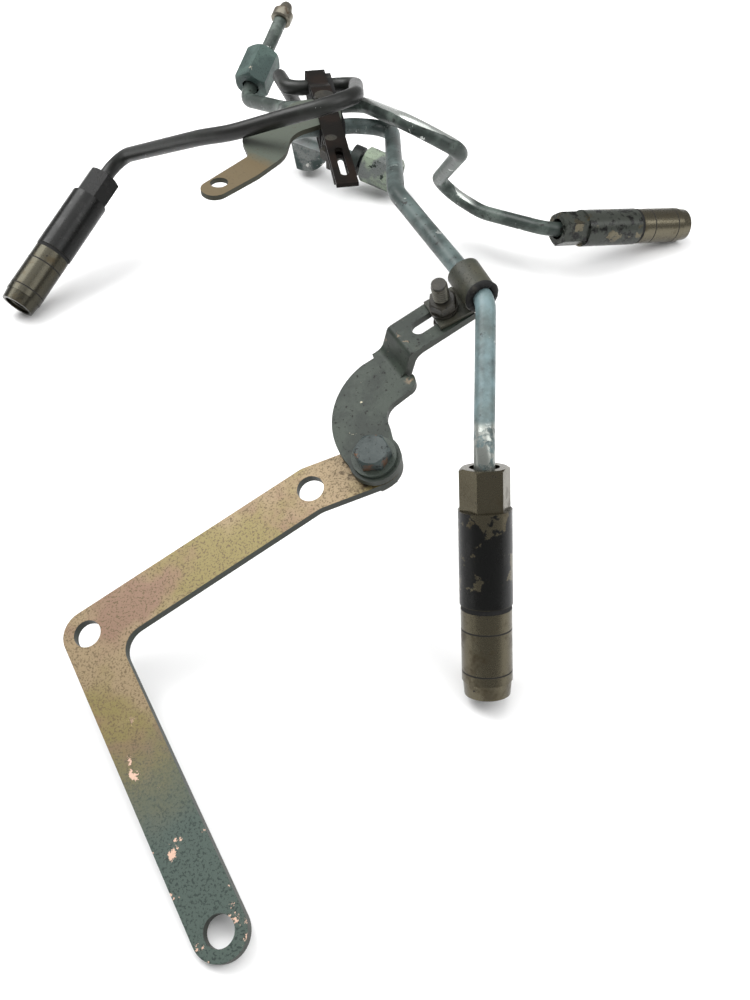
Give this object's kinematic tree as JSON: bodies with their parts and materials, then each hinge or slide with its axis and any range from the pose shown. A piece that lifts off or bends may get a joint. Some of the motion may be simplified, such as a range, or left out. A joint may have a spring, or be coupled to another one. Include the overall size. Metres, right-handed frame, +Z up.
{
  "type": "high-pressure pipe set",
  "caption": "Set of rigid bent steel pressure pipes gathered in a strap clamp, with long sleeve nuts, short union nuts, a P clip, a slotted bracket and an L-shaped arm plate.",
  "frame": {"origin": "middle of the footprint, on the surface the set stands on", "axes": "+Y from the arm plate's foot towards the strap clamp, +X towards the right-hand sleeve nut, +Z up"},
  "size_m": [0.3926, 0.537, 0.1226],
  "materials": {
    "bracket": "speckled",
    "dark_steel": "rusty",
    "pipe": "satin",
    "rubber": "matt",
    "sleeve": "worn",
    "steel": "worn",
    "union": "worn",
    "zinc": "chromate"
  },
  "bodies": {
    "root": {"pipe_left": "pipe", "pipe_right": "pipe", "pipe_center": "pipe", "sleeve_thrust_ring_left": "steel", "sleeve_nose_left": "steel", "sleeve_thrust_ring_right": "steel", "sleeve_nose_right": "steel", "sleeve_thrust_ring_center": "steel", "sleeve_nose_center": "steel", "pipe_bush": "dark_steel", "union_nose_left": "steel", "union_nose_right": "steel", "union_nose_center": "steel", "clamp_strap": "dark_steel", "clamp_rubber": "rubber", "clamp_stud": "dark_steel", "clamp_nut": "dark_steel", "clamp_rivet": "dark_steel", "lug_plate": "zinc"},
    "sleeve_left": {"sleeve_nut_left": "sleeve", "groove_ring_left": "rubber"},
    "sleeve_right": {"sleeve_nut_right": "sleeve", "groove_ring_right": "rubber"},
    "sleeve_center": {"sleeve_nut_center": "sleeve", "groove_ring_center": "rubber"},
    "union_ring_left": {"union_thrust_ring_left": "steel"},
    "union_left": {"union_nut_left": "union"},
    "union_ring_right": {"union_thrust_ring_right": "steel"},
    "union_right": {"union_nut_right": "union"},
    "union_ring_center": {"union_thrust_ring_center": "steel"},
    "union_center": {"union_nut_center": "union"},
    "p_clip": {"p_clip_band": "bracket", "p_clip_rubber": "rubber"},
    "clip_bolt": {"clip_bolt": "dark_steel", "clip_washer": "dark_steel", "clip_nut": "dark_steel"},
    "bracket": {"slotted_bracket": "bracket", "pivot_bolt": "steel", "pivot_washer": "steel", "pivot_spacer": "steel", "pivot_nut": "steel"},
    "arm": {"arm_plate": "zinc"}
  },
  "joints": [
    {"name": "sleeve_left_turn", "type": "hinge", "parent": "root", "child": "sleeve_left", "pos_m": [-0.14579, 0.14406, 0.0446], "axis": [-0.4735, -0.784, -0.4014], "continuous": true},
    {"name": "sleeve_right_turn", "type": "hinge", "parent": "root", "child": "sleeve_right", "pos_m": [0.11121, 0.11796, 0.0281], "axis": [0.9027, 0.3757, -0.2099], "continuous": true},
    {"name": "sleeve_center_turn", "type": "hinge", "parent": "root", "child": "sleeve_center", "pos_m": [0.04901, -0.11624, 0.0793], "axis": [0.0388, -0.5693, -0.8212], "continuous": true},
    {"name": "union_left_slide", "type": "slide", "parent": "root", "child": "union_ring_left", "axis": [-0.1, -0.18, 0.9786], "range_m": [0, 0.006]},
    {"name": "union_left_turn", "type": "hinge", "parent": "union_ring_left", "child": "union_left", "pos_m": [-0.03659, 0.22486, 0.0301], "axis": [0.1, 0.18, -0.9786], "continuous": true},
    {"name": "union_right_slide", "type": "slide", "parent": "root", "child": "union_ring_right", "axis": [0.3167, 0.8671, 0.3846], "range_m": [0, 0.038]},
    {"name": "union_right_turn", "type": "hinge", "parent": "union_ring_right", "child": "union_right", "pos_m": [-0.06609, 0.21116, 0.0654], "axis": [0.3167, 0.8671, 0.3846], "continuous": true},
    {"name": "union_center_slide", "type": "slide", "parent": "root", "child": "union_ring_center", "axis": [-0.9025, 0.381, 0.2006], "range_m": [0, 0.0015]},
    {"name": "union_center_turn", "type": "hinge", "parent": "union_ring_center", "child": "union_center", "pos_m": [0.00171, 0.20636, 0.0184], "axis": [0.9025, -0.381, -0.2006], "continuous": true},
    {"name": "p_clip_turn", "type": "hinge", "parent": "root", "child": "p_clip", "pos_m": [0.04688, -0.04523, 0.10942], "axis": [0.3776, -0.9254, 0.0314], "range_deg": [-12, 12]},
    {"name": "clip_bolt_turn", "type": "hinge", "parent": "p_clip", "child": "clip_bolt", "pos_m": [0.03496, -0.05023, 0.10553], "axis": [-0.197, -0.2652, 0.9439], "range_deg": [-15, 15]},
    {"name": "bracket_slide", "type": "slide", "parent": "clip_bolt", "child": "bracket", "axis": [0.8334, 0.4618, 0.3037], "range_m": [-0.003, 0.008]},
    {"name": "arm_pivot", "type": "hinge", "parent": "bracket", "child": "arm", "pos_m": [0.00918, -0.09876, 0.06298], "axis": [-0.197, -0.2652, 0.9439], "range_deg": [-40, 30]}
  ]
}
